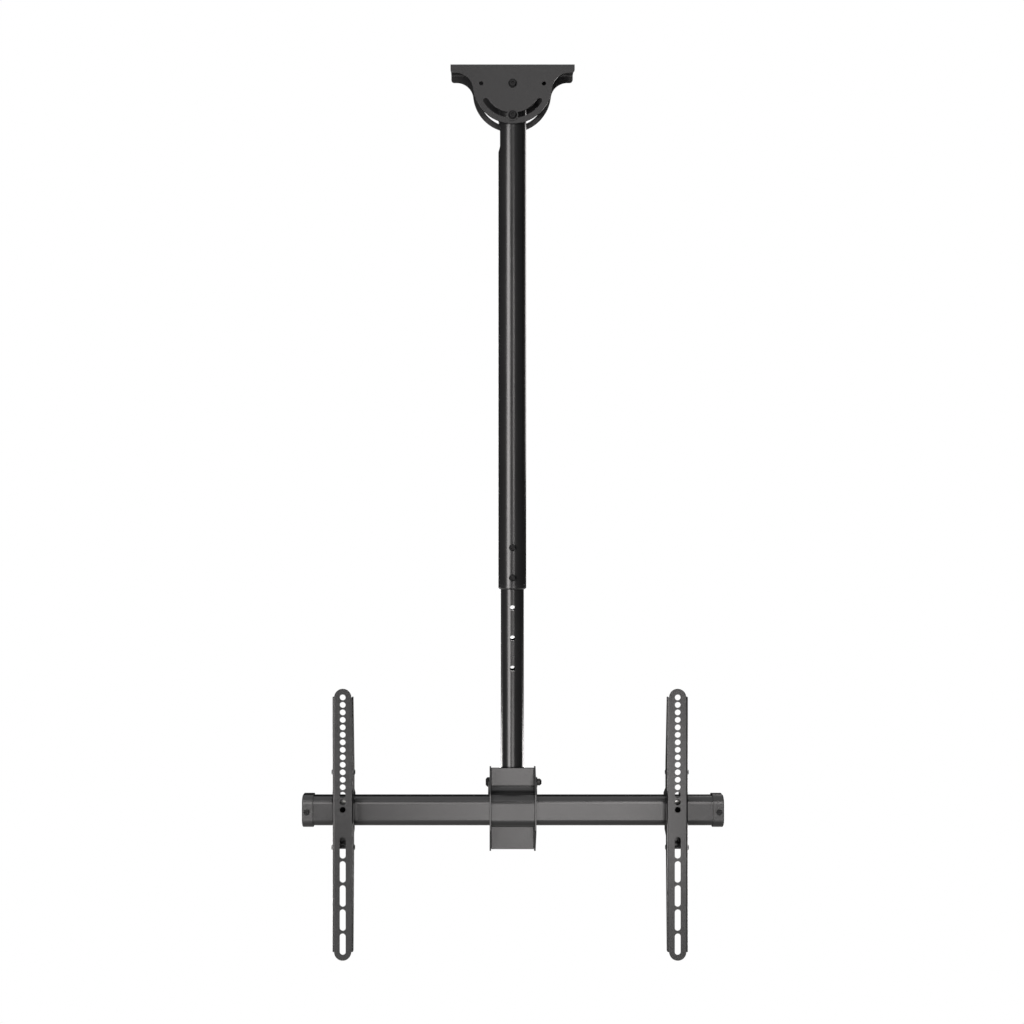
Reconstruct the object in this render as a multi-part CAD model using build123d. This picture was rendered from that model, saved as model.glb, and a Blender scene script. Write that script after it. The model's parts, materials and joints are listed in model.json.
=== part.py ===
from build123d import *
import os
from math import asin, degrees, hypot

os.makedirs("parts", exist_ok=True)

# A ceiling mount for a television. Millimetres, +Z up, the viewer and the screen on the -Y side.
# The origin is the centre of the face that lies against the ceiling.

# Clearances
slide_gap = 0.3         # between faces that slide or fold past each other
shaft_gap = 0.05        # round a bolt, pin or rivet, on the radius
tube_gap = 0.1          # between a tube and the plastic ring it slides in, on the radius
cut_margin = 1.0        # how far a cut runs past the face that it opens
near = 0.01             # lengths closer than this are the same

# Folded ceiling plate
plate_length = 205.0
plate_sheet = 3.0
plate_bend = 1.5        # inside radius of the two folds
end_height = 15.0       # height of the cheeks at the ends of the plate
end_corner = 5.0
end_flat = 1.0          # level edge that stays between a corner and a sweep
sweep_radius = 28.0     # hollow sweep from the end into the round cheek
cheek_radius = 66.0     # round cheek, about the pivot
pivot_drop = 32.5       # pivot below the ceiling
arc_radius = 52.5       # arc slot, about the pivot
arc_half_angle = 57.0
arc_width = 9.0
side_hole_radius = 3.5
side_hole_reach = 51.7  # small holes beside the pivot, level with it
ceiling_slot_length = 18.0
ceiling_slot_width = 8.5
ceiling_slot_x = 78.0
ceiling_slot_y = 11.0

# M8 bolts, nuts and washers
m8_radius = 4.0
m8_head_radius = 7.0
m8_head_height = 4.4
m8_socket = 5.0         # across flats
m8_socket_depth = 2.6
m8_nut_flats = 13.0
m8_nut_height = 6.5
m8_washer_radius = 9.4
m8_washer_thickness = 1.6
m8_thread_end = 2.0     # thread that shows beyond a nut
height_head_radius = 6.0    # the two screws in the outer tube

# Bevels of the fasteners' heads, as shares of a head's height
button_bevel_height = 0.6
button_bevel_width = 0.5
dome_bevel_height = 0.6
dome_bevel_width = 0.7
cap_nut_bevel = 0.8
flat_head_bevel = 0.5

# Outer tube
outer_radius = 23.25
outer_wall = 2.0
outer_top = -18.0
outer_length = 843.0
cable_hole_top = -88.0
cable_hole_length = 51.5
cable_hole_width = 22.0

# Plastic bushing in the outer tube's lower end
bushing_length = 79.0
bushing_lip_height = 7.4
bushing_lip_bevel = 2.0

# Inner tube
inner_radius = 19.25
inner_wall = 2.0
inner_length = 866.0
height_hole_radius = 4.4
height_hole_pitch = 50.0
height_hole_count = 12
height_hole_inset = 25.0    # first hole below the inner tube's top
height_hole_set = 9         # hole, counted from the top, that the lower screw meets
height_screw_rise = 12.0    # lower screw above the outer tube's end
glide_length = 12.0

# Rail
rail_height = 48.0
rail_depth = 32.0
rail_corner = 11.0
rail_wall = 2.0
rail_length = 680.0
rail_reach = 59.0       # front of the rail, in front of the pole's axis
rail_rise = 71.9        # middle of the rail above the mast bracket's end

# Rail end caps
cap_wall = 2.5
cap_cover = 14.5        # length of rail that a cap covers
cap_end = 3.0
cap_bevel = 1.4
cap_screw_radius = 2.0
cap_screw_head = 4.8
cap_screw_head_height = 1.8
cap_screw_cross_reach = 2.64
cap_screw_cross_width = 1.056
cap_screw_cross_depth = 0.99
cap_screw_inset = 5.0   # from the rail's end
cap_screw_length = 6.0

# Mast bracket on the inner tube
bracket_sheet = 2.5
bracket_width = 76.0
bracket_bend = 0.6
bracket_overhang = 9.6  # below the inner tube's end
bracket_height = 139.0
bracket_tip = 7.0       # depth of the flanges at their tips
bracket_nose = 7.0      # flange in front of the rail
bracket_shoulder = 8.0  # flange above and below the rail
bracket_round = 8.0

# Clamp plate over the rail
clamp_side_gap = 0.7    # between the clamp plate and a flange
clamp_inset = 2.6       # flaps and the bracket's back end inside the flanges' tips
clamp_top_bend = 10.0   # hollow bend under the upper flap
clamp_foot_bend = 4.0

# Ears, cross bolt and rivets
ear_round = 8.0
ear_skirt = 2.3         # ear below the rail
ear_lap = 7.2           # ear over the flange
ear_shoulder = 4.0      # ear's sloped shoulder above the cross bolt
cross_radius = 3.0
cross_rise = 36.7       # above the middle of the rail
cross_head_radius = 7.7
cross_head_height = 4.0
cross_spacer_radius = 5.5
cross_washer_radius = 8.0
cross_washer_thickness = 1.2
cross_nut_flats = 10.0
cross_nut_height = 4.6
cross_nut_dome = 2.4
rivet_radius = 2.0
rivet_x = 24.3
rivet_head_radius = 2.6
rivet_front_radius = 4.0
rivet_head_height = 1.4
rivet_front_height = 0.5
upper_rivet_rise = 56.1     # above the middle of the rail
lower_rivet_drop = 10.3

# Saddle strap behind the inner tube
saddle_sheet = 2.0
saddle_width = 68.0
saddle_rise = 62.2      # above the middle of the rail
saddle_height = 80.0

# Television arms
arm_width = 33.0
arm_sheet = 2.0
arm_bend = 1.0
arm_reach = 90.0        # front of the arms, in front of the pole's axis
arm_left_inset = 66.5   # middle of an arm inside the rail's end
arm_right_inset = 76.5
arm_tab_radius = 13.7
first_hole_rise = 168.6     # above the pivot
hole_radius = 4.7
hole_pitch = 12.0
hole_count = 16
slot_length = 34.6
slot_width = 9.6
slot_pitch = 38.6
slot_count = 5
first_slot_drop = 72.5      # below the pivot
end_depth = 10.0        # flange depth at the arm's two ends
grip_depth = 26.0       # flange depth at the tilt screws and the pivot
low_depth = 20.0        # flange depth beside the first slot
grip_above = 57.0       # deepest part of the flange, above the pivot
grip_below = 8.0
low_from = 30.0         # shallower part, below the pivot
low_to = 85.0
arm_edge_round = 12.0

# Tilt of the arms
tilt_depth = 14.0       # pivot behind the arm's front
tilt_rise = 21.9        # pivot above the middle of the rail
tilt_screw_depth = 12.0
tilt_screw_rise = 46.8
upright = 90.0          # degrees, the +Z way seen from the side
tilt_forward = 10.0     # degrees, top towards the viewer
tilt_back = 5.0
tilt_spare = 0.6        # degrees of slot beyond the tilt
tilt_slot_width = 5.6
arm_pivot_radius = 3.0
tilt_screw_radius = 2.5
side_head_radius = 4.4
side_head_height = 2.2
side_socket = 3.0
side_socket_depth = 1.2
side_head_gap = 0.15    # between a screw's head and the arm that turns under it
screw_end = 1.5         # screw beyond the ear that it is threaded in
cross_pin_depth = 10.0  # behind the arm's front
cross_pin_drop = 73.9   # below the pivot
cross_pin_radius = 2.5

# Hook bracket that carries an arm on the rail
hook_sheet = 2.5
hook_side_gap = 0.8     # between an ear and the arm's flange
hook_blade_top = 4.8    # round top, about the tilt screw
hook_pivot_round = 8.0
hook_bar = 12.0         # height of the ear above the rail
hook_lip_depth = 6.0    # lip behind the rail
hook_lip_drop = 14.3
hook_web_drop = 22.3    # web below the rail
hook_foot_reach = 26.0  # under the rail, back from its front
hook_foot_drop = 10.0
hook_edge_round = 3.0
lock_radius = 3.0
lock_head_radius = 6.0
lock_head_height = 5.0
lock_socket = 5.0
lock_socket_depth = 2.5
lock_depth = 14.0       # behind the rail's front

# Places worked out from the sizes above
plate_inside = outer_radius + slide_gap
plate_face = plate_inside + plate_sheet
plate_drop = pivot_drop + cheek_radius
slot_bolt_z = -pivot_drop - arc_radius
outer_bottom = outer_top - outer_length
bushing_top = outer_bottom + bushing_length
low_screw = outer_bottom + height_screw_rise
height_screws = [low_screw + height_hole_pitch, low_screw]
first_height_hole = low_screw + height_hole_pitch * (height_hole_set - 1)
height_holes = [first_height_hole - height_hole_pitch * i for i in range(height_hole_count)]
inner_top = first_height_hole + height_hole_inset
inner_bottom = inner_top - inner_length
bracket_bottom = inner_bottom - bracket_overhang
bracket_top = bracket_bottom + bracket_height
flap_top = bracket_top - clamp_inset
flap_bottom = bracket_bottom + clamp_inset
rail_z = bracket_bottom + rail_rise
rail_front = -rail_reach
rail_y = rail_front + rail_depth / 2
rail_rear = rail_front + rail_depth
rail_top = rail_z + rail_height / 2
rail_bottom = rail_z - rail_height / 2
rail_end = rail_length / 2
bracket_half = bracket_width / 2
bracket_rear = -inner_radius
bracket_face = bracket_rear - bracket_sheet
bracket_front = rail_front - bracket_nose
ear_outside = bracket_half + bracket_sheet
ear_front = bracket_face - ear_lap + bracket_sheet
cross_z = rail_z + cross_rise
upper_rivet_z = rail_z + upper_rivet_rise
lower_rivet_z = rail_z - lower_rivet_drop
saddle_top = rail_z + saddle_rise
saddle_bottom = saddle_top - saddle_height
saddle_half = inner_radius + saddle_sheet
arm_front = -arm_reach
tilt_y = arm_front + tilt_depth
tilt_z = rail_z + tilt_rise
tilt_screw_y = arm_front + tilt_screw_depth
first_hole_z = tilt_z + first_hole_rise
first_slot_z = tilt_z - first_slot_drop
cross_pin_y = arm_front + cross_pin_depth
cross_pin_z = tilt_z - cross_pin_drop
hook_web_low = rail_bottom - hook_web_drop
lock_y = rail_front + lock_depth
arm_half = arm_width / 2
last_slot_z = first_slot_z - slot_pitch * (slot_count - 1)
low_tab_z = last_slot_z - (slot_length - slot_width) / 2
hook_outside = arm_half - arm_sheet - hook_side_gap
hook_inside = hook_outside - hook_sheet
hook_web_rear = rail_front - slide_gap
tilt_screw_z = tilt_z + tilt_screw_rise
tilt_screw_reach = hypot(tilt_screw_rise, tilt_y - tilt_screw_y)
arms = {"left": arm_left_inset - rail_end, "right": rail_end - arm_right_inset}


def along_x(outline, start, end):
    """Extrude an outline drawn in Y and Z."""
    return extrude(Plane.YZ.offset(start) * outline, amount=end - start)


def along_y(outline, start, end):
    """Extrude an outline drawn in X and Z."""
    return extrude(Plane.XZ.offset(-end) * outline, amount=end - start)


def along_z(outline, start, end):
    """Extrude an outline drawn in X and Y."""
    return extrude(Plane.XY.offset(start) * outline, amount=end - start)


def disc(x, y, radius):
    """A round outline at a place."""
    return Pos(x, y) * Circle(radius)


def round_box(x, y, width, height, corner):
    """A rectangle with round corners at a place."""
    return Pos(x, y) * RectangleRounded(width, height, corner)


def closed_outline(points):
    """A polygon through points."""
    return make_face(Polyline(*points, close=True))


def bevelled_disc(radius, height, bevel_height, bevel_width):
    """A disc on z = 0 with its top edge bevelled."""
    head = extrude(Circle(radius), amount=height)
    return chamfer(head.edges().group_by(Axis.Z)[-1], bevel_height, bevel_width)


# The way that a fastener's head points, for a fastener made with its head up
facing = {
    "front": Rot(X=90),
    "back": Rot(X=-90),
    "left": Rot(Y=-90),
    "right": Rot(Y=90),
    "down": Rot(X=180),
}


def button_screw(head_radius, head_height, shank_radius, length, socket, socket_depth):
    """A button-head socket screw with its head on z = 0 and its shank below."""
    head = bevelled_disc(
        head_radius, head_height, head_height * button_bevel_height, head_height * button_bevel_width)
    hexagon = RegularPolygon(socket / 2, side_count=6, major_radius=False)
    head -= Pos(0, 0, head_height - socket_depth) * extrude(hexagon, amount=socket_depth)
    return head + Pos(0, 0, -length) * extrude(Circle(shank_radius), amount=length)


def hex_nut(flats, height, bore):
    """A nut that stands on z = 0."""
    outline = RegularPolygon(flats / 2, side_count=6, major_radius=False) - Circle(bore)
    return extrude(outline, amount=height)


def washer(radius, thickness, bore):
    """A washer that stands on z = 0."""
    return extrude(Circle(radius) - Circle(bore), amount=thickness)


def folded_sheet(points, bends, sheet):
    """The outline of a folded sheet along its middle line."""
    middle = FilletPolyline(*points, radius=bends)
    return trace(middle, line_width=sheet)


def sweep_room():
    """The largest sweep between the round cheek and the plate's end corner."""
    reach = plate_length / 2 - end_corner - end_flat
    rise = pivot_drop - end_height
    return (reach ** 2 / (cheek_radius + rise) - (cheek_radius - rise)) / 2


def make_ceiling_plate():
    """One folded sheet: a flat top and two cheeks that hang from it."""
    outside = Pos(0, -plate_drop / 2) * Rectangle(2 * plate_face, plate_drop)
    outside = fillet(outside.vertices().group_by(Axis.Y)[-1], plate_bend + plate_sheet)
    inside = Pos(0, -plate_sheet - plate_drop / 2) * Rectangle(2 * plate_inside, plate_drop)
    inside = fillet(inside.vertices().group_by(Axis.Y)[-1], plate_bend)
    folded = along_x(outside - inside, -plate_length / 2, plate_length / 2)

    ends = Pos(0, -end_height / 2) * Rectangle(plate_length, end_height)
    room = Pos(0, -plate_drop / 2) * Rectangle(plate_length, plate_drop)
    side = (ends + disc(0, -pivot_drop, cheek_radius)) & room
    level = side.vertices().filter_by(lambda v: abs(v.Y + end_height) < near)
    hollow = level.filter_by(lambda v: abs(v.X) < plate_length / 2 - end_corner)
    side = fillet(hollow, min(sweep_radius, sweep_room()))
    tips = side.vertices().filter_by(
        lambda v: abs(v.Y + end_height) < near and abs(v.X) > plate_length / 2 - near)
    side = fillet(tips, end_corner)
    plate = folded & along_y(side, -plate_face, plate_face)

    reach = plate_face + cut_margin
    arc = CenterArc((0, -pivot_drop), arc_radius, -90 - arc_half_angle, 2 * arc_half_angle)
    plate -= along_y(SlotArc(arc, arc_width), -reach, reach)
    plate -= along_y(disc(0, -pivot_drop, m8_radius + shaft_gap), -reach, reach)
    for side_x in (-side_hole_reach, side_hole_reach):
        plate -= along_y(disc(side_x, -pivot_drop, side_hole_radius), -reach, reach)
    slot = SlotOverall(ceiling_slot_length, ceiling_slot_width)
    for slot_x in (-ceiling_slot_x, ceiling_slot_x):
        for slot_y in (-ceiling_slot_y, ceiling_slot_y):
            plate -= along_z(Pos(slot_x, slot_y) * slot, -plate_sheet - cut_margin, cut_margin)
    return plate


def make_pivot_bolt():
    """The bolt that the outer tube swings on."""
    length = 2 * plate_face + m8_washer_thickness + m8_nut_height + m8_thread_end
    bolt = button_screw(
        m8_head_radius, m8_head_height, m8_radius, length, m8_socket, m8_socket_depth)
    return Pos(0, -plate_face, -pivot_drop) * facing["front"] * bolt


def make_pivot_nut():
    nut = hex_nut(m8_nut_flats, m8_nut_height, m8_radius + shaft_gap)
    return Pos(0, plate_face + m8_washer_thickness, -pivot_drop) * facing["back"] * nut


def make_pivot_washer():
    ring = washer(m8_washer_radius, m8_washer_thickness, m8_radius + shaft_gap)
    return Pos(0, plate_face, -pivot_drop) * facing["back"] * ring


def make_slot_bolt():
    """The bolt that runs in the arc slots and holds the tube's tilt."""
    seat = plate_face + shaft_gap + m8_washer_thickness
    length = 2 * seat + m8_nut_height + m8_thread_end
    bolt = button_screw(
        m8_head_radius, m8_head_height, m8_radius, length, m8_socket, m8_socket_depth)
    return Pos(0, -seat, slot_bolt_z) * facing["front"] * bolt


def make_slot_nut():
    seat = plate_face + shaft_gap + m8_washer_thickness
    nut = hex_nut(m8_nut_flats, m8_nut_height, m8_radius + shaft_gap)
    return Pos(0, seat, slot_bolt_z) * facing["back"] * nut


def make_slot_washers():
    """One washer against each cheek."""
    ring = washer(m8_washer_radius, m8_washer_thickness, m8_radius + shaft_gap)
    seat = plate_face + shaft_gap
    front = Pos(0, -seat, slot_bolt_z) * facing["front"] * ring
    back = Pos(0, seat, slot_bolt_z) * facing["back"] * ring
    return Compound([front, back])


def make_outer_tube():
    ring = Circle(outer_radius) - Circle(outer_radius - outer_wall)
    tube = along_z(ring, outer_bottom, outer_top)
    reach = outer_radius + cut_margin
    for bolt_z in (-pivot_drop, slot_bolt_z):
        tube -= along_y(disc(0, bolt_z, m8_radius + shaft_gap), -reach, reach)
    for screw_z in height_screws:
        tube -= along_y(disc(0, screw_z, m8_radius + shaft_gap), -reach, 0)
    cable_hole = SlotOverall(cable_hole_length, cable_hole_width, rotation=90)
    middle = cable_hole_top - cable_hole_length / 2
    return tube - along_x(Pos(0, middle) * cable_hole, -reach, 0)


def make_tube_bushing():
    """A plastic ring in the outer tube's end, with a lip below it."""
    bore = inner_radius + tube_gap
    sleeve = along_z(
        Circle(outer_radius - outer_wall - shaft_gap) - Circle(bore), outer_bottom, bushing_top)
    lip = along_z(Circle(outer_radius), outer_bottom - bushing_lip_height, outer_bottom)
    lip = chamfer(lip.edges().group_by(Axis.Z)[0], bushing_lip_bevel)
    lip -= along_z(Circle(bore), outer_bottom - bushing_lip_height, outer_bottom)
    bushing = sleeve + lip
    for screw_z in height_screws:
        bushing -= along_y(disc(0, screw_z, m8_radius + shaft_gap), -outer_radius, 0)
    return bushing


def make_height_screws():
    """Two screws in the outer tube, backed out just clear of the inner tube."""
    length = outer_radius - inner_radius - slide_gap
    screw = button_screw(
        height_head_radius, m8_head_height, m8_radius, length, m8_socket, m8_socket_depth)
    return Compound([
        Pos(0, -outer_radius, screw_z) * facing["front"] * screw for screw_z in height_screws])


def make_inner_tube():
    ring = Circle(inner_radius) - Circle(inner_radius - inner_wall)
    tube = along_z(ring, inner_bottom, inner_top)
    reach = inner_radius + cut_margin
    for hole_z in height_holes:
        tube -= along_y(disc(0, hole_z, height_hole_radius), -reach, reach)
    return tube - along_x(disc(0, cross_z, cross_radius + shaft_gap), -reach, reach)


def make_inner_tube_glide():
    """A plastic ring round the inner tube's top, inside the outer tube."""
    ring = Circle(outer_radius - outer_wall - tube_gap) - Circle(inner_radius + shaft_gap)
    return along_z(ring, inner_top - glide_length, inner_top)


def rail_section(growth):
    """The rail's outer outline, grown evenly by a clearance or a wall."""
    return round_box(
        rail_y, rail_z, rail_depth + 2 * growth, rail_height + 2 * growth, rail_corner + growth)


def make_rail():
    tube = along_x(rail_section(0) - rail_section(-rail_wall), -rail_end, rail_end)
    for screw_x in (cap_screw_inset - rail_end, rail_end - cap_screw_inset):
        hole = disc(screw_x, rail_z, cap_screw_radius + shaft_gap)
        tube -= along_y(hole, rail_front - cut_margin, rail_y)
    return tube


def make_end_cap(side):
    """A plastic cap over the rail's end; side is -1 or 1."""
    outside = rail_end + cap_end
    cap = along_x(rail_section(cap_wall), rail_end - cap_cover, outside)
    cap = chamfer(cap.edges().group_by(Axis.X)[-1], cap_bevel)
    cap -= along_x(rail_section(shaft_gap), 0, rail_end + shaft_gap)
    hole = disc(rail_end - cap_screw_inset, rail_z, cap_screw_radius + shaft_gap)
    cap -= along_y(hole, rail_front - cap_wall - cut_margin, rail_y)
    return cap if side > 0 else mirror(cap, about=Plane.YZ)


def make_cap_screw(side):
    """A cross-head screw through a cap into the rail."""
    bevel = cap_screw_head_height * flat_head_bevel
    head = bevelled_disc(cap_screw_head, cap_screw_head_height, bevel, bevel)
    bar = Rectangle(2 * cap_screw_cross_reach, cap_screw_cross_width)
    cross = extrude(bar + Rot(Z=90) * bar, amount=cap_screw_cross_depth)
    head -= Pos(0, 0, cap_screw_head_height - cap_screw_cross_depth) * cross
    shank = Pos(0, 0, -cap_screw_length) * extrude(Circle(cap_screw_radius), amount=cap_screw_length)
    place = Pos(side * (rail_end - cap_screw_inset), rail_front - cap_wall, rail_z)
    return place * facing["front"] * (head + shank)


def make_mast_bracket():
    """A folded channel: its back on the inner tube, its two flanges round the rail."""
    depth = bracket_rear - bracket_front
    outside = Pos(0, bracket_rear - depth / 2) * Rectangle(bracket_width, depth)
    outside = fillet(outside.vertices().group_by(Axis.Y)[-1], bracket_bend + bracket_sheet)
    inner_width = bracket_width - 2 * bracket_sheet
    inside = Pos(0, bracket_face - depth / 2) * Rectangle(inner_width, depth)
    inside = fillet(inside.vertices().group_by(Axis.Y)[-1], bracket_bend)
    channel = along_z(outside - inside, bracket_bottom, bracket_top)
    tip = bracket_rear - bracket_tip
    shoulder_top = rail_top + bracket_shoulder
    shoulder_bottom = rail_bottom - bracket_shoulder
    side = closed_outline([
        (bracket_rear, bracket_bottom), (bracket_rear, bracket_top), (tip, bracket_top),
        (bracket_front, shoulder_top), (bracket_front, shoulder_bottom), (tip, bracket_bottom)])
    side = fillet(side.vertices().filter_by(lambda v: v.X < tip - near), bracket_round)
    side = fillet(side.vertices().filter_by(lambda v: abs(v.X - tip) < near), bracket_tip / 2)
    bracket = channel & along_x(side, -bracket_half, bracket_half)
    reach = bracket_half + cut_margin
    bracket -= along_x(rail_section(slide_gap), -reach, reach)
    back = Rectangle(inner_width, 2 * abs(tip))
    for low, high in ((flap_top, bracket_top), (bracket_bottom, flap_bottom)):
        bracket -= along_z(back, low, high)
    for rivet_z in (upper_rivet_z, lower_rivet_z):
        for rivet_side in (-rivet_x, rivet_x):
            hole = disc(rivet_side, rivet_z, rivet_radius + shaft_gap)
            bracket -= along_y(hole, bracket_face - cut_margin, bracket_rear + cut_margin)
    return bracket


def make_tube_saddle():
    """A strap round the back of the inner tube, with its two feet on the bracket's back."""
    middle_radius = inner_radius + saddle_sheet / 2
    foot_y = bracket_rear + saddle_sheet / 2
    half = saddle_width / 2
    path = Polyline((-half, foot_y), (-middle_radius, foot_y), (-middle_radius, 0))
    path += ThreePointArc((-middle_radius, 0), (0, middle_radius), (middle_radius, 0))
    path += Polyline((middle_radius, 0), (middle_radius, foot_y), (half, foot_y))
    strap = along_z(trace(path, line_width=saddle_sheet), saddle_bottom, saddle_top)
    strap -= along_z(Circle(inner_radius), saddle_bottom, saddle_top)
    for rivet_z in (upper_rivet_z, lower_rivet_z):
        for rivet_side in (-rivet_x, rivet_x):
            hole = disc(rivet_side, rivet_z, rivet_radius + shaft_gap)
            strap -= along_y(hole, bracket_rear - cut_margin, 0)
    return strap - along_x(disc(0, cross_z, cross_radius + shaft_gap), -saddle_half, saddle_half)


def clamp_section():
    """The hat section: a flap, a step over the rail, and a lower flap."""
    half_sheet = bracket_sheet / 2
    back = bracket_face - half_sheet
    front = rail_front - slide_gap - half_sheet
    top = rail_top + slide_gap + half_sheet
    bottom = rail_bottom - slide_gap - half_sheet
    points = [
        (back, flap_top), (back, top), (front, top),
        (front, bottom), (back, bottom), (back, flap_bottom)]
    rail_bend = rail_corner + slide_gap + half_sheet
    bends = [clamp_top_bend + half_sheet, rail_bend, rail_bend, clamp_foot_bend + half_sheet]
    return folded_sheet(points, bends, bracket_sheet)


def make_clamp_plate():
    half = bracket_half - bracket_sheet - clamp_side_gap
    plate = along_x(clamp_section(), -half, half)
    for rivet_side in (-rivet_x, rivet_x):
        hole = disc(rivet_side, upper_rivet_z, rivet_radius + shaft_gap)
        plate -= along_y(hole, bracket_face - bracket_sheet - cut_margin, bracket_face + cut_margin)
    return plate


def rivet(grip):
    """A rivet through a stack of sheets, with its flat head on z = 0."""
    pin = Pos(0, 0, -grip) * extrude(Circle(rivet_radius), amount=grip)
    face = extrude(Circle(rivet_front_radius), amount=rivet_front_height)
    tail = extrude(Circle(rivet_head_radius), amount=rivet_head_height)
    return pin + face + Pos(0, 0, -grip - rivet_head_height) * tail


def make_bracket_rivets():
    """Two upper rivets through the clamp plate too, and two behind the rail."""
    back = bracket_rear + saddle_sheet
    fronts = {upper_rivet_z: bracket_face - bracket_sheet, lower_rivet_z: bracket_face}
    rivets = []
    for rivet_z, front in fronts.items():
        for rivet_side in (-rivet_x, rivet_x):
            rivets.append(Pos(rivet_side, front, rivet_z) * facing["front"] * rivet(back - front))
    return Compound(rivets)


def make_ear(side):
    """A side plate on the bracket's flange, behind the rail, with a round top for the cross bolt."""
    low = rail_bottom - ear_skirt
    skirt = closed_outline(
        [(ear_front, cross_z), (ear_front, low), (bracket_rear, low), (ear_round, cross_z)])
    shoulder = closed_outline([
        (ear_front, cross_z), (ear_front, rail_top), (0, rail_top), (0, cross_z + ear_round),
        (bracket_rear, cross_z + ear_shoulder)])
    outline = skirt + shoulder + disc(0, cross_z, ear_round)
    outline -= disc(0, cross_z, cross_radius + shaft_gap)
    ear = along_x(outline, bracket_half, ear_outside)
    return ear if side > 0 else mirror(ear, about=Plane.YZ)


def make_cross_bolt():
    """The bolt across both flanges, with its low dome on the left."""
    length = 2 * ear_outside + cross_washer_thickness + cross_nut_height
    dome = bevelled_disc(
        cross_head_radius, cross_head_height,
        cross_head_height * dome_bevel_height, cross_head_height * dome_bevel_width)
    shank = Pos(0, 0, -length) * extrude(Circle(cross_radius), amount=length)
    return Pos(-ear_outside, 0, cross_z) * facing["left"] * (dome + shank)


def make_cross_spacers():
    """A sleeve on the bolt at each side, between the saddle strap and an ear."""
    ring = Circle(cross_spacer_radius) - Circle(cross_radius + shaft_gap)
    sleeve = along_x(Pos(0, cross_z) * ring, saddle_half, bracket_half)
    return Compound([sleeve, mirror(sleeve, about=Plane.YZ)])


def make_cross_washer():
    ring = washer(cross_washer_radius, cross_washer_thickness, cross_radius + shaft_gap)
    return Pos(ear_outside, 0, cross_z) * facing["right"] * ring


def make_cross_nut():
    """A cap nut over the bolt's end."""
    across = RegularPolygon(cross_nut_flats / 2, side_count=6, major_radius=False)
    nut = extrude(across, amount=cross_nut_height)
    bevel = cross_nut_dome * cap_nut_bevel
    nut += Pos(0, 0, cross_nut_height) * bevelled_disc(
        cross_nut_flats / 2, cross_nut_dome, bevel, bevel)
    nut -= extrude(Circle(cross_radius + shaft_gap), amount=cross_nut_height + shaft_gap)
    place = Pos(ear_outside + cross_washer_thickness, 0, cross_z)
    return place * facing["right"] * nut


def arm_side_outline():
    """The arm seen from its side: its flanges are deepest at the tilt screws and the pivot."""
    top = first_hole_z + arm_tab_radius
    bottom = low_tab_z - arm_tab_radius
    points = [
        (arm_front - cut_margin, bottom), (arm_front - cut_margin, top),
        (arm_front + end_depth, top), (arm_front + end_depth, first_hole_z),
        (arm_front + grip_depth, tilt_z + grip_above), (arm_front + grip_depth, tilt_z - grip_below),
        (arm_front + low_depth, tilt_z - low_from), (arm_front + low_depth, tilt_z - low_to),
        (arm_front + end_depth, low_tab_z), (arm_front + end_depth, bottom)]
    outline = closed_outline(points)
    soft = outline.vertices().filter_by(lambda v: v.X > arm_front + end_depth + near)
    return fillet(soft, arm_edge_round)


def make_arm(middle_x):
    """A folded channel with a row of round holes, five long slots and a round tab at each end."""
    outside = Pos(0, arm_front + grip_depth / 2) * Rectangle(arm_width, grip_depth)
    outside = fillet(outside.vertices().group_by(Axis.Y)[0], arm_bend + arm_sheet)
    inside = Pos(0, arm_front + arm_sheet + grip_depth / 2)
    inside *= Rectangle(arm_width - 2 * arm_sheet, grip_depth)
    inside = fillet(inside.vertices().group_by(Axis.Y)[0], arm_bend)
    top = first_hole_z + arm_tab_radius
    bottom = low_tab_z - arm_tab_radius
    channel = along_z(outside - inside, bottom, top)
    front = Pos(0, (first_hole_z + low_tab_z) / 2) * Rectangle(arm_width, first_hole_z - low_tab_z)
    front += disc(0, first_hole_z, arm_tab_radius) + disc(0, low_tab_z, arm_tab_radius)
    arm = channel & along_y(front, arm_front, arm_front + grip_depth)
    arm &= along_x(arm_side_outline(), -arm_half, arm_half)

    holes = [disc(0, first_hole_z - hole_pitch * i, hole_radius) for i in range(hole_count)]
    slot = SlotOverall(slot_length, slot_width, rotation=90)
    holes += [Pos(0, first_slot_z - slot_pitch * i) * slot for i in range(slot_count)]
    for hole in holes:
        arm -= along_y(hole, arm_front - cut_margin, arm_front + arm_sheet + cut_margin)

    rest = degrees(asin((tilt_y - tilt_screw_y) / tilt_screw_reach))
    start = upright + rest - tilt_forward - tilt_spare
    arc = CenterArc(
        (tilt_y, tilt_z), tilt_screw_reach, start, tilt_forward + tilt_back + 2 * tilt_spare)
    reach = arm_half + cut_margin
    arm -= along_x(SlotArc(arc, tilt_slot_width), -reach, reach)
    arm -= along_x(disc(tilt_y, tilt_z, arm_pivot_radius + shaft_gap), -reach, reach)
    arm -= along_x(disc(cross_pin_y, cross_pin_z, cross_pin_radius + shaft_gap), -reach, reach)
    return Pos(middle_x) * arm


def flank_pair(middle_x, piece, y, z, reach):
    """The same piece on both flanks of an arm, with its head outwards."""
    left = Pos(middle_x - reach, y, z) * facing["left"] * piece
    right = Pos(middle_x + reach, y, z) * facing["right"] * piece
    return [left, right]


def flank_screw(radius):
    """A screw through an arm's flange into the ear behind it."""
    length = side_head_gap + arm_half - hook_inside + screw_end
    return button_screw(
        side_head_radius, side_head_height, radius, length, side_socket, side_socket_depth)


def make_pivot_screws(middle_x):
    screw = flank_screw(arm_pivot_radius)
    return Compound(flank_pair(middle_x, screw, tilt_y, tilt_z, arm_half + side_head_gap))


def make_tilt_screws(middle_x):
    screw = flank_screw(tilt_screw_radius)
    return Compound(
        flank_pair(middle_x, screw, tilt_screw_y, tilt_screw_z, arm_half + side_head_gap))


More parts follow.
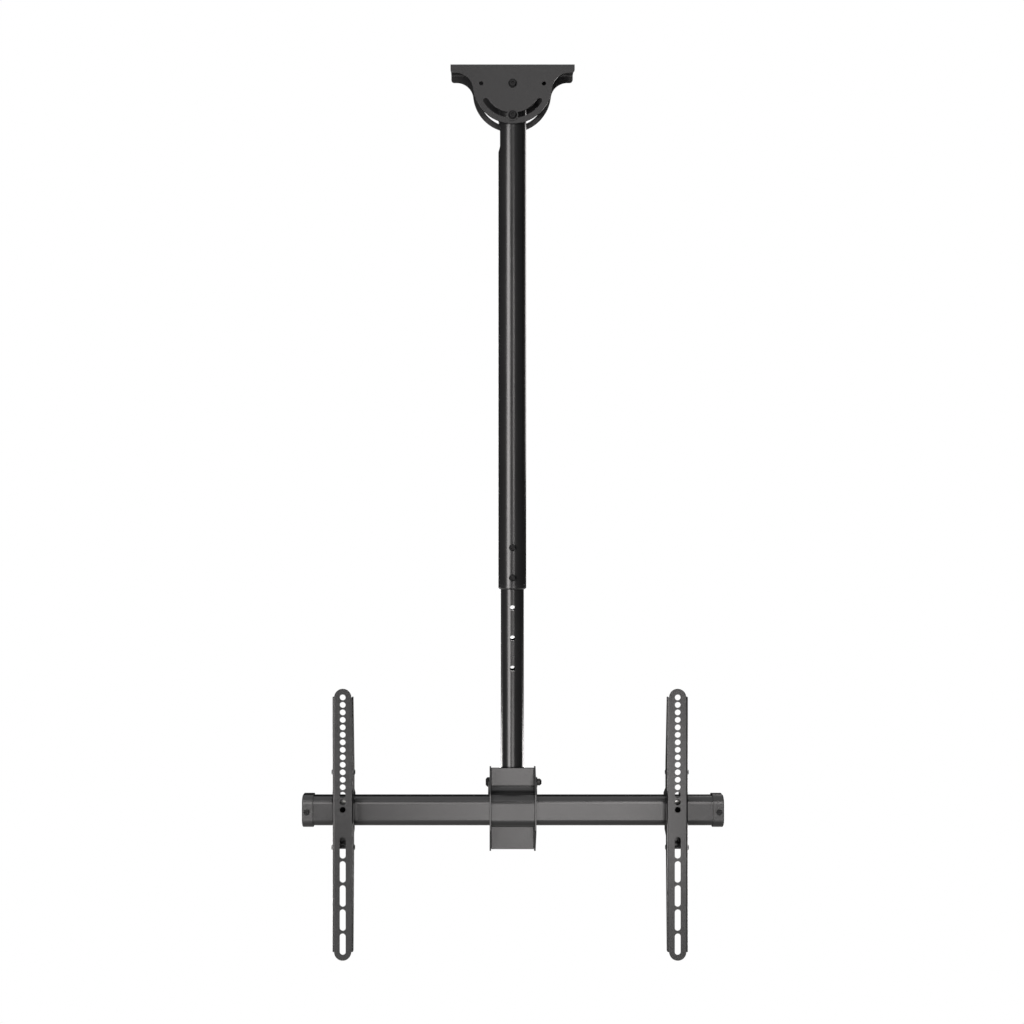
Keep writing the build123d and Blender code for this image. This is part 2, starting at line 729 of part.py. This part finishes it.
def make_cross_pin(middle_x):
    """A pin across the arm's channel with a flat head at each end."""
    pin = along_x(disc(cross_pin_y, cross_pin_z, cross_pin_radius), -arm_half, arm_half)
    bevel = side_head_height * flat_head_bevel
    head = bevelled_disc(side_head_radius, side_head_height, bevel, bevel)
    for end in flank_pair(0, head, cross_pin_y, cross_pin_z, arm_half):
        pin += end
    return Pos(middle_x) * pin


def hook_outline():
    """The ear seen from its side: a blade for the tilt screw and a C round the rail."""
    blade = make_hull(
        disc(tilt_screw_y, tilt_screw_z, hook_blade_top).edges()
        + disc(tilt_y, tilt_z, hook_pivot_round).edges())
    nose = tilt_y - hook_pivot_round
    web_front = hook_web_rear - hook_sheet
    bar_top = rail_top + slide_gap + hook_bar
    lip_rear = rail_rear + slide_gap + hook_lip_depth
    lip_low = rail_top - hook_lip_drop
    foot_rear = rail_front + hook_foot_reach
    foot_low = rail_bottom - hook_foot_drop
    body = closed_outline([
        (tilt_screw_y, bar_top + hook_bar), (rail_y, bar_top), (lip_rear, rail_top),
        (lip_rear, lip_low), (rail_y, lip_low), (rail_y, rail_bottom + rail_wall),
        (foot_rear, rail_bottom), (foot_rear, foot_low), (web_front, hook_web_low),
        (web_front - hook_pivot_round, hook_web_low), (nose, tilt_z)])
    body = fillet(body.vertices(), hook_edge_round)
    return blade + body - rail_section(slide_gap)


def make_hook_bracket(middle_x):
    """Two ears that hook over the rail, a web in front of it and a foot below it."""
    outline = hook_outline()
    outline -= disc(tilt_y, tilt_z, arm_pivot_radius + shaft_gap)
    outline -= disc(tilt_screw_y, tilt_screw_z, tilt_screw_radius + shaft_gap)
    web_front = hook_web_rear - hook_sheet
    foot_low = rail_bottom - hook_foot_drop
    plates = closed_outline([
        (web_front, tilt_z), (hook_web_rear, tilt_z), (hook_web_rear, foot_low + hook_sheet),
        (rail_front + hook_foot_reach, foot_low + hook_sheet),
        (rail_front + hook_foot_reach, foot_low), (hook_web_rear, foot_low),
        (hook_web_rear, hook_web_low), (web_front, hook_web_low)])
    bracket = along_x(plates, -hook_outside, hook_outside)
    bracket += along_x(outline, -hook_outside, -hook_inside)
    bracket += along_x(outline, hook_inside, hook_outside)
    low = foot_low - cut_margin
    bracket -= along_z(disc(0, lock_y, lock_radius + shaft_gap), low, rail_bottom - slide_gap)
    return Pos(middle_x) * bracket


def make_lock_screw(middle_x):
    """The screw under the rail that locks the hook bracket to it."""
    foot_low = rail_bottom - hook_foot_drop
    length = rail_bottom - slide_gap - foot_low
    screw = button_screw(
        lock_head_radius, lock_head_height, lock_radius, length, lock_socket, lock_socket_depth)
    return Pos(middle_x, lock_y, foot_low) * facing["down"] * screw


pieces = {
    "ceiling_plate": make_ceiling_plate(),
    "pivot_bolt": make_pivot_bolt(),
    "pivot_nut": make_pivot_nut(),
    "pivot_washer": make_pivot_washer(),
    "slot_bolt": make_slot_bolt(),
    "slot_nut": make_slot_nut(),
    "slot_washers": make_slot_washers(),
    "outer_tube": make_outer_tube(),
    "tube_bushing": make_tube_bushing(),
    "height_screws": make_height_screws(),
    "inner_tube": make_inner_tube(),
    "inner_tube_glide": make_inner_tube_glide(),
    "mast_bracket": make_mast_bracket(),
    "tube_saddle": make_tube_saddle(),
    "clamp_plate": make_clamp_plate(),
    "bracket_rivets": make_bracket_rivets(),
    "cross_bolt": make_cross_bolt(),
    "cross_spacers": make_cross_spacers(),
    "cross_washer": make_cross_washer(),
    "cross_nut": make_cross_nut(),
    "rail": make_rail(),
}
for side_name, sign in (("left", -1), ("right", 1)):
    pieces["bracket_ear_" + side_name] = make_ear(sign)
    pieces["end_cap_" + side_name] = make_end_cap(sign)
    pieces["cap_screw_" + side_name] = make_cap_screw(sign)
for side_name, middle in arms.items():
    pieces["hook_bracket_" + side_name] = make_hook_bracket(middle)
    pieces["lock_screw_" + side_name] = make_lock_screw(middle)
    pieces["arm_pivot_screws_" + side_name] = make_pivot_screws(middle)
    pieces["tilt_screws_" + side_name] = make_tilt_screws(middle)
    pieces["tv_arm_" + side_name] = make_arm(middle)
    pieces["cross_pin_" + side_name] = make_cross_pin(middle)

for node, solid in pieces.items():
    export_step(solid, "parts/" + node + ".step")
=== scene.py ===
import json
from math import copysign, cos, pi, radians, sin

import bmesh
import bpy
from mathutils import Matrix, Vector


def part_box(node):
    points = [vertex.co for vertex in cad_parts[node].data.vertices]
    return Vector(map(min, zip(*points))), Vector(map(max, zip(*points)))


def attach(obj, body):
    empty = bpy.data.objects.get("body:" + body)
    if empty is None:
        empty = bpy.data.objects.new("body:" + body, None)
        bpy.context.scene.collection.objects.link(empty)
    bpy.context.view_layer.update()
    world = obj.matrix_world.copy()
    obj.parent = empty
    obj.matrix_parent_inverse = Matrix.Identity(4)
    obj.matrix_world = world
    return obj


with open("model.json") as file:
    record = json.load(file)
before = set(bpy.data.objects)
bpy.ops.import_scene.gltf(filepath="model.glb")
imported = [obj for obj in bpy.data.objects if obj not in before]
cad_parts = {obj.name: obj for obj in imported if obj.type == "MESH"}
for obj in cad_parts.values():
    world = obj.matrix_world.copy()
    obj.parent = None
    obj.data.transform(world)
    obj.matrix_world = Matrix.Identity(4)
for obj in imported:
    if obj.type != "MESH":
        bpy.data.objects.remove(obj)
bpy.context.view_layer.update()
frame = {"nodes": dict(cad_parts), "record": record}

# A ceiling mount for a television, in metres, in the frame of its CAD model.

nodes = frame["nodes"]
scene = bpy.context.scene

# Camera: the photograph's frame is 1024 pixels wide
FRAME_PIXELS = 1024
FOCAL_PIXELS = 1317
SENSOR = 36.0           # mm
LEVEL_POINT_X = 488     # the pixel column that the camera looks straight at
CAMERA_PLACE = (-0.0406, -2.2, -0.740)

# Stage: a floor, and upright flags round it
FLOOR_Z = -2.45
FLOOR_HALF = 1.95
FLOOR_COLOUR = (0.38, 0.38, 0.37)
FLOOR_TINT = 0.01
FLOOR_CLOUDS = 3
FLOOR_ROUGHNESS = 0.8
FLAG_HALF = 2.4
FLAG_FRONT = 3.6
FLAG_LIFT = 0.01        # above the floor
FLAG_TOP = 1.6
FLAG_COLOUR = (0.004, 0.004, 0.004)

# Light from the world on the object, and what shows behind it
WORLD_LIGHT = 0.5
WORLD_WHITE = 1.0

# Lamps: place, aim, width, height and watts
LAMP_COLOUR = (1.0, 0.968, 0.96)
LAMPS = {
    "key_strip": ((-1.45, -2.25, -0.64), (0, 0, -0.64), 1.05, 2.8, 98),
    "low_box": ((0.22, -2.95, -1.78), (0, 0, -1.15), 1.05, 0.7, 15),
    "side_strip": ((0.55, -2.9, -0.35), (0, 0, -0.6), 0.26, 1.5, 15),
    "high_box": ((0.1, -2.95, 0.9), (0, 0, -0.05), 0.8, 0.6, 2.8),
    "back_box": ((1.3, 2.1, 0.1), (0, 0, -0.8), 1.1, 1.5, 14),
    "rear_left_box": ((-1.6, 1.7, -1.8), (0, 0, -1.2), 1.0, 0.6, 18),
    "rear_right_box": ((1.6, 1.7, -1.8), (0, 0, -1.2), 1.0, 0.6, 18),
    "rail_line": ((-0.1, -2.98, -0.98), (-0.1, 0, -1.1), 3.0, 0.6, 33),
    "rear_strip": ((0, 2.2, -0.85), (0, 0, -0.85), 0.5, 2.6, 30),
}

# Lamps that light only a few CAD nodes
LIT_ALONE = {
    "rail_line": ("rail", "end_cap_left", "end_cap_right"),
    "rear_strip": ("outer_tube", "inner_tube", "tube_saddle"),
}

# Finishes: colours are linear, clouds and grains are counted to a metre
POWDER_COAT = {
    "colour": (0.0105, 0.0105, 0.0108),
    "tint_change": 0.12,
    "clouds": 9,
    "cloud_detail": 3.0,
    "roughness": (0.235, 0.275),
    "specular": 0.5,
    "grains": 1400,
    "grain_detail": 3.0,
    "grain_roughness": 0.6,
    "grain_height": 0.00012,
    "grain_strength": 0.35,
    "soft_edge": 0.0006,
}
PLASTIC = {
    "colour": (0.0120, 0.0120, 0.0122),
    "tint_change": 0.10,
    "clouds": 24,
    "cloud_detail": 2.0,
    "roughness": (0.24, 0.30),
    "specular": 0.5,
    "grains": 2600,
    "grain_detail": 2.0,
    "grain_roughness": 0.7,
    "grain_height": 0.00010,
    "grain_strength": 0.5,
    "soft_edge": 0.0005,
}
BLACK_OXIDE = {
    "colour": (0.0060, 0.0060, 0.0064),
    "tint_change": 0.25,
    "clouds": 140,
    "cloud_detail": 2.0,
    "roughness": (0.22, 0.32),
    "specular": 0.22,
    "grains": 3200,
    "grain_detail": 2.0,
    "grain_roughness": 0.5,
    "grain_height": 0.00006,
    "grain_strength": 0.35,
    "soft_edge": 0.0004,
}
ZINC_COLOUR = (0.42, 0.42, 0.41)
ZINC_TINT = 0.12
ZINC_GRAINS = 900
ZINC_ROUGHNESS = (0.26, 0.36)
NOISE_LOW = 0.3         # most of a noise lies between these two
NOISE_HIGH = 0.7
BEVEL_SAMPLES = 4

# Fasteners that are coated together with the steel round them
COATED = ("slot_washers", "bracket_rivets")

# M8 threads beyond the nuts
THREAD_RADIUS = 0.0040
THREAD_PITCH = 0.00125
THREAD_START = 0.0002   # from the nut's face
THREAD_END = 0.0005     # from the bolt's end
THREAD_TURN_STEPS = 36
# The ridge's corners: out as a share of the radius, along as a share of the pitch
THREAD_RIDGE = ((0, -0.36), (0.09, 0), (0, 0.36), (-0.06, 0))

# Crowns of the end caps
CROWN_INSET = 0.0024    # from the cap's rim
CROWN_RISE = 0.0016
CROWN_SINK = 0.0001     # into the cap's face
CROWN_SHARES = (1.0, 0.96, 0.85, 0.68, 0.46, 0.22)
CROWN_POWER = 0.55      # 1 makes an ellipse, and less makes it squarer
CROWN_STEPS = 64

# Sleeves round the ends of the pivot screws
SLEEVE_HALF = 0.0112    # up to the insides of the hook bracket's ears
SLEEVE_RADIUS = 0.0045
SLEEVE_BORE = 0.0031
SLEEVE_BEVEL = 0.0004
LATHE_STEPS = 48

# Tongues below the hook brackets' webs
SLIDE_GAP = 0.0003      # from the web to the rail
HOOK_SHEET = 0.0025
TONGUE_LAP = 0.0002     # over the web's lower edge
TONGUE_DROP = 0.0078
TONGUE_HALF = 0.0105
TONGUE_CORNER = 0.003
TONGUE_CORNER_STEPS = 8


def new_material(name):
    """A node material with its shader and an object-space place."""
    material = bpy.data.materials.new(name)
    material.use_nodes = True
    tree = material.node_tree
    shader = tree.nodes["Principled BSDF"]
    place = tree.nodes.new("ShaderNodeTexCoord")
    return material, tree, shader, place.outputs["Object"]


def noise(tree, place, scale, detail=2.0, roughness=0.5):
    """A noise texture of so many grains to a metre."""
    texture = tree.nodes.new("ShaderNodeTexNoise")
    texture.inputs["Scale"].default_value = scale
    texture.inputs["Detail"].default_value = detail
    texture.inputs["Roughness"].default_value = roughness
    tree.links.new(place, texture.inputs["Vector"])
    return texture.outputs["Fac"]


def spread(tree, value, limits):
    """Maps a noise, which lies about 0.5, to a range."""
    node = tree.nodes.new("ShaderNodeMapRange")
    node.inputs["From Min"].default_value = NOISE_LOW
    node.inputs["From Max"].default_value = NOISE_HIGH
    node.inputs["To Min"].default_value = limits[0]
    node.inputs["To Max"].default_value = limits[1]
    tree.links.new(value, node.inputs["Value"])
    return node.outputs["Result"]


def tint(tree, value, colour, change):
    """A colour that varies a little with a noise."""
    mix = tree.nodes.new("ShaderNodeMix")
    mix.data_type = "RGBA"
    mix.inputs["A"].default_value = [c * (1 - change) for c in colour] + [1]
    mix.inputs["B"].default_value = [c * (1 + change) for c in colour] + [1]
    tree.links.new(value, mix.inputs["Factor"])
    return mix.outputs["Result"]


def bump(tree, height, distance, strength, soft_edge):
    """Fine relief over edges that are softened by a small radius."""
    bevel = tree.nodes.new("ShaderNodeBevel")
    bevel.samples = BEVEL_SAMPLES
    bevel.inputs["Radius"].default_value = soft_edge
    node = tree.nodes.new("ShaderNodeBump")
    node.inputs["Distance"].default_value = distance
    node.inputs["Strength"].default_value = strength
    tree.links.new(height, node.inputs["Height"])
    tree.links.new(bevel.outputs["Normal"], node.inputs["Normal"])
    return node.outputs["Normal"]


def dark_finish(name, finish):
    """A dark surface: slow clouds in its colour and sheen, and fine grains in relief."""
    material, tree, shader, place = new_material(name)
    grain = noise(tree, place, finish["grains"], finish["grain_detail"], finish["grain_roughness"])
    cloud = noise(tree, place, finish["clouds"], finish["cloud_detail"])
    colour = tint(tree, cloud, finish["colour"], finish["tint_change"])
    normal = bump(tree, grain, finish["grain_height"], finish["grain_strength"], finish["soft_edge"])
    tree.links.new(colour, shader.inputs["Base Color"])
    tree.links.new(spread(tree, cloud, finish["roughness"]), shader.inputs["Roughness"])
    tree.links.new(normal, shader.inputs["Normal"])
    shader.inputs["Specular IOR Level"].default_value = finish["specular"]
    return material


def powder_coat():
    """Satin black powder coat: a fine orange peel, with slow changes in its sheen."""
    return dark_finish("powder_coat", POWDER_COAT)


def moulded_plastic():
    """Black moulded plastic with a fine spark texture."""
    return dark_finish("moulded_plastic", PLASTIC)


def black_oxide():
    """Blackened steel fasteners, finely grained and darker than the coat."""
    return dark_finish("black_oxide", BLACK_OXIDE)


def bright_zinc():
    """Zinc plate on the sleeves inside the arms."""
    material, tree, shader, place = new_material("bright_zinc")
    grain = noise(tree, place, ZINC_GRAINS)
    tree.links.new(tint(tree, grain, ZINC_COLOUR, ZINC_TINT), shader.inputs["Base Color"])
    tree.links.new(spread(tree, grain, ZINC_ROUGHNESS), shader.inputs["Roughness"])
    shader.inputs["Metallic"].default_value = 1.0
    return material


def dress_nodes():
    """Every CAD node gets the material of its slot. Returns all the materials."""
    finishes = {
        "powder_coated_steel": powder_coat(),
        "black_plastic": moulded_plastic(),
        "fasteners": black_oxide(),
        "zinc": bright_zinc(),
    }
    slots = {part["node"]: part["material_slot"] for part in frame["record"]["subparts"]}
    for name, node in nodes.items():
        slot = "powder_coated_steel" if name in COATED else slots[name]
        node.data.materials.clear()
        node.data.materials.append(finishes[slot])
    return finishes


def area_lamp(name, place, aim, width, height, watts):
    """A soft rectangular lamp that points at a place."""
    data = bpy.data.lights.new(name, "AREA")
    data.shape = "RECTANGLE"
    data.size = width
    data.size_y = height
    data.energy = watts
    data.color = LAMP_COLOUR
    lamp = bpy.data.objects.new(name, data)
    lamp.location = place
    lamp.rotation_euler = (Vector(aim) - Vector(place)).to_track_quat("-Z", "Y").to_euler()
    scene.collection.objects.link(lamp)
    return lamp


def light_only(lamp, names):
    """Limits a lamp to a few CAD nodes."""
    lit = bpy.data.collections.new("lit_by_" + lamp.name)
    for name in names:
        lit.objects.link(nodes[name])
    lamp.light_linking.receiver_collection = lit


def make_lamps():
    """A tall strip from the front left, and softer boxes in front and behind."""
    for name, (place, aim, width, height, watts) in LAMPS.items():
        lamp = area_lamp(name, place, aim, width, height, watts)
        if name in LIT_ALONE:
            light_only(lamp, LIT_ALONE[name])


def either(tree, first, second):
    """1 where one of two ray kinds is 1."""
    node = tree.nodes.new("ShaderNodeMath")
    node.operation = "MAXIMUM"
    tree.links.new(first, node.inputs[0])
    tree.links.new(second, node.inputs[1])
    return node.outputs["Value"]


def white_background(tree, strength):
    """A white world of some strength."""
    node = tree.nodes.new("ShaderNodeBackground")
    node.inputs["Color"].default_value = (1, 1, 1, 1)
    node.inputs["Strength"].default_value = strength
    return node.outputs["Background"]


def make_world():
    """White to the camera and in reflections, and a low even light on the object."""
    world = bpy.data.worlds.new("studio")
    scene.world = world
    world.use_nodes = True
    tree = world.node_tree
    tree.nodes.clear()
    out = tree.nodes.new("ShaderNodeOutputWorld")
    path = tree.nodes.new("ShaderNodeLightPath")
    seen = either(tree, path.outputs["Is Camera Ray"], path.outputs["Is Transmission Ray"])
    shown = either(tree, seen, path.outputs["Is Glossy Ray"])
    mix = tree.nodes.new("ShaderNodeMixShader")
    tree.links.new(shown, mix.inputs["Fac"])
    tree.links.new(white_background(tree, WORLD_LIGHT), mix.inputs[1])
    tree.links.new(white_background(tree, WORLD_WHITE), mix.inputs[2])
    tree.links.new(mix.outputs["Shader"], out.inputs["Surface"])


def flat_panel(name, corners, material):
    """A stage panel through four corners, hidden from the camera."""
    mesh = bpy.data.meshes.new(name)
    mesh.from_pydata(corners, [], [(0, 1, 2, 3)])
    mesh.materials.append(material)
    panel = bpy.data.objects.new(name, mesh)
    scene.collection.objects.link(panel)
    panel.visible_camera = False
    panel.visible_transmission = False
    return panel


def make_floor():
    """A plain grey floor that the camera doesn't see, as the mount hangs in plain white."""
    material, tree, shader, place = new_material("floor")
    shader.inputs["Roughness"].default_value = FLOOR_ROUGHNESS
    cloud = noise(tree, place, FLOOR_CLOUDS)
    tree.links.new(tint(tree, cloud, FLOOR_COLOUR, FLOOR_TINT), shader.inputs["Base Color"])
    h = FLOOR_HALF
    corners = [(-h, -h, FLOOR_Z), (h, -h, FLOOR_Z), (h, h, FLOOR_Z), (-h, h, FLOOR_Z)]
    flat_panel("floor", corners, material)


def make_flags():
    """Black studio flags, seen only in reflections, which keep the tubes' sides dark."""
    material, _, shader, _ = new_material("flag")
    shader.inputs["Base Color"].default_value = (*FLAG_COLOUR, 1)
    shader.inputs["Roughness"].default_value = 1.0
    shader.inputs["Specular IOR Level"].default_value = 0.0
    low = FLOOR_Z + FLAG_LIFT
    h = FLAG_HALF
    walls = {
        "flag_left": ((-h, -FLAG_FRONT), (-h, h)),
        "flag_right": ((h, h), (h, -FLAG_FRONT)),
        "flag_front": ((h, -FLAG_FRONT), (-h, -FLAG_FRONT)),
        "flag_back": ((-h, h), (h, h)),
    }
    for name, (start, end) in walls.items():
        corners = [(*start, low), (*end, low), (*end, FLAG_TOP), (*start, FLAG_TOP)]
        flag = flat_panel(name, corners, material)
        flag.visible_diffuse = False
        flag.visible_shadow = False


def make_camera():
    """The photograph's view: level, along +Y."""
    data = bpy.data.cameras.new("camera")
    data.sensor_width = SENSOR
    data.lens = SENSOR * FOCAL_PIXELS / FRAME_PIXELS
    data.shift_x = (FRAME_PIXELS / 2 - LEVEL_POINT_X) / FRAME_PIXELS
    camera = bpy.data.objects.new("camera", data)
    camera.location = CAMERA_PLACE
    camera.rotation_euler = (radians(90), 0, 0)
    scene.collection.objects.link(camera)
    scene.camera = camera


def finish_piece(name, mesh, body, material, smooth=True):
    """Puts a built mesh into the scene as a piece that rides on a body."""
    bmesh.ops.recalc_face_normals(mesh, faces=mesh.faces)
    data = bpy.data.meshes.new(name)
    mesh.to_mesh(data)
    mesh.free()
    if smooth:
        data.shade_smooth()
    data.materials.append(material)
    piece = bpy.data.objects.new(name, data)
    scene.collection.objects.link(piece)
    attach(piece, body)


def turned_to(place, axis):
    """The matrix that moves +Z at the origin to an axis through a place."""
    turn = Vector((0, 0, 1)).rotation_difference(Vector(axis)).to_matrix().to_4x4()
    return Matrix.Translation(place) @ turn


def on_circle(radius, angle, height):
    """A point on a circle round +Z."""
    return Vector((radius * cos(angle), radius * sin(angle), height))


def middle_of(low, high):
    """The middle of a box."""
    return [(a + b) / 2 for a, b in zip(low, high)]


def skin(mesh, rings):
    """Faces between each ring of points and the next."""
    for ring, other in zip(rings, rings[1:]):
        for here in range(len(ring)):
            there = (here + 1) % len(ring)
            mesh.faces.new((ring[here], ring[there], other[there], other[here]))


def closed_skin(mesh, rings):
    """Faces between rings, and one over each end."""
    skin(mesh, rings)
    mesh.faces.new(rings[0])
    mesh.faces.new(list(reversed(rings[-1])))


def lathe(name, profile, place, axis, body, material):
    """A turned ring: a closed outline of (radius, height) points swept about an axis."""
    mesh = bmesh.new()
    move = turned_to(place, axis)
    rings = []
    for radius, height in profile:
        angles = [2 * pi * step / LATHE_STEPS for step in range(LATHE_STEPS)]
        rings.append([mesh.verts.new(move @ on_circle(radius, angle, height)) for angle in angles])
    skin(mesh, rings + rings[:1])
    finish_piece(name, mesh, body, material)


def thread(name, place, axis, length, body, material):
    """A screw thread: one helical ridge about an axis, from a place along it."""
    mesh = bmesh.new()
    move = turned_to(place, axis)
    rows = []
    for step in range(int(THREAD_TURN_STEPS * length / THREAD_PITCH) + 1):
        angle = 2 * pi * step / THREAD_TURN_STEPS
        rise = THREAD_PITCH * step / THREAD_TURN_STEPS
        row = []
        for out, along in THREAD_RIDGE:
            point = on_circle(THREAD_RADIUS * (1 + out), angle, rise + along * THREAD_PITCH)
            row.append(mesh.verts.new(move @ point))
        rows.append(row)
    closed_skin(mesh, rows)
    finish_piece(name, mesh, body, material)


def make_threads(material):
    """Threads that stand out of the nuts behind the ceiling plate."""
    bolts = (("pivot_bolt", "pivot_nut", "ceiling"), ("slot_bolt", "slot_nut", "upper_pole"))
    for bolt, nut, body in bolts:
        low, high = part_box(bolt)
        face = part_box(nut)[1][1]
        start = (0, face + THREAD_START, middle_of(low, high)[2])
        length = high[1] - face - THREAD_START - THREAD_END
        thread(bolt + "_thread", start, (0, 1, 0), length, body, material)


def rounded_square(angle):
    """The place at an angle on a rounded square that reaches 1 each way."""
    across, up = cos(angle), sin(angle)
    return (copysign(abs(across) ** CROWN_POWER, across),
            copysign(abs(up) ** CROWN_POWER, up))


def make_cap_crowns(material):
    """The low crown on each end cap's outer face."""
    for side, sign in (("left", -1), ("right", 1)):
        low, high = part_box("end_cap_" + side)
        outside = high[0] if sign > 0 else low[0]
        middle = middle_of(low, high)
        half_y = (high[1] - low[1]) / 2 - CROWN_INSET
        half_z = (high[2] - low[2]) / 2 - CROWN_INSET
        mesh = bmesh.new()
        rings = []
        for share in CROWN_SHARES:
            x = outside + sign * (CROWN_RISE * (1 - share ** 2) - CROWN_SINK)
            ring = []
            for step in range(CROWN_STEPS):
                across, up = rounded_square(2 * pi * step / CROWN_STEPS)
                y = middle[1] + half_y * share * across
                z = middle[2] + half_z * share * up
                ring.append(mesh.verts.new((x, y, z)))
            rings.append(ring)
        closed_skin(mesh, rings)
        finish_piece("cap_crown_" + side, mesh, "lower_pole", material)


def make_pivot_sleeves(material):
    """The zinc sleeve between a hook bracket's ears, round the ends of the pivot screws."""
    half, radius, bore = SLEEVE_HALF, SLEEVE_RADIUS, SLEEVE_BORE
    profile = [(bore, -half), (radius - SLEEVE_BEVEL, -half), (radius, SLEEVE_BEVEL - half),
               (radius, half - SLEEVE_BEVEL), (radius - SLEEVE_BEVEL, half), (bore, half)]
    for side in ("left", "right"):
        low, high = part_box("arm_pivot_screws_" + side)
        place = middle_of(low, high)
        lathe("pivot_sleeve_" + side, profile, place, (1, 0, 0), "carriage_" + side, material)


def tongue_outline(top, bottom):
    """A tongue's outline as (x, z) points: square at the top, with round lower corners."""
    half, corner = TONGUE_HALF, TONGUE_CORNER
    outline = [(-half, top), (half, top)]
    for centre, start in ((half - corner, 0), (corner - half, -90)):
        for step in range(TONGUE_CORNER_STEPS + 1):
            angle = radians(start - 90 * step / TONGUE_CORNER_STEPS)
            outline.append((centre + corner * cos(angle), bottom + corner + corner * sin(angle)))
    return outline


def make_web_tongues(material):
    """The narrow tongue below a hook bracket's web, seen through the arm's first slot."""
    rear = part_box("rail")[0][1] - SLIDE_GAP
    for side in ("left", "right"):
        low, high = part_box("hook_bracket_" + side)
        middle_x = middle_of(low, high)[0]
        outline = tongue_outline(low[2] + TONGUE_LAP, low[2] - TONGUE_DROP)
        mesh = bmesh.new()
        rings = []
        for y in (rear - HOOK_SHEET, rear):
            rings.append([mesh.verts.new((middle_x + x, y, z)) for x, z in outline])
        closed_skin(mesh, rings)
        finish_piece("web_tongue_" + side, mesh, "carriage_" + side, material, smooth=False)


make_camera()
make_world()
make_floor()
make_flags()
make_lamps()
finishes = dress_nodes()
make_threads(finishes["fasteners"])
make_cap_crowns(finishes["black_plastic"])
make_pivot_sleeves(finishes["zinc"])
make_web_tongues(finishes["powder_coated_steel"])

scene.view_settings.view_transform = "Standard"
